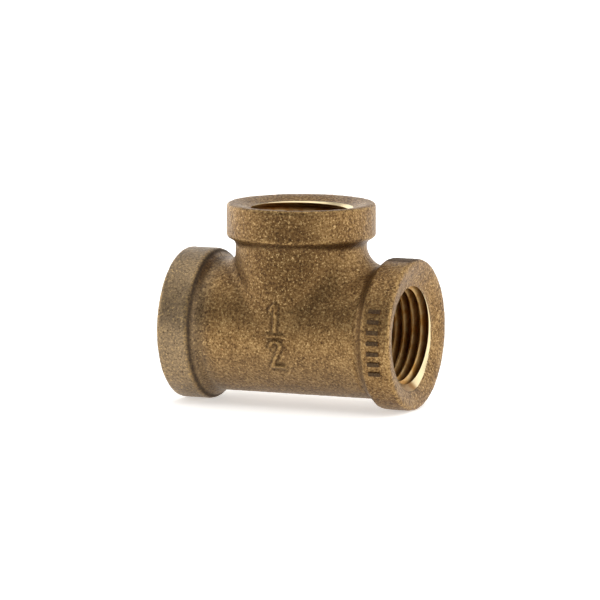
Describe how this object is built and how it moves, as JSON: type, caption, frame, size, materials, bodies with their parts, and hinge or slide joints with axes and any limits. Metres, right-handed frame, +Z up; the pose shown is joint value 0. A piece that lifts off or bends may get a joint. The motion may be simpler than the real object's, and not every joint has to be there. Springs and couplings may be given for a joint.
{
  "type": "pipe tee fitting",
  "caption": "Cast bronze pipe tee with three female taper-threaded ports: a straight run and a branch at right angles, each port with a raised reinforcing band.",
  "frame": {"origin": "where the axis of the run and the axis of the branch cross", "axes": "+X along the run, +Z up the branch, the size mark on the -Y side"},
  "size_m": [0.0492, 0.03, 0.0396],
  "materials": {
    "cast_bronze": "sand-cast skin, tumbled and dulled, with bright tapped threads and mouth chamfers"
  },
  "bodies": {
    "root": {"tee_casting": "cast_bronze"}
  },
  "joints": []
}
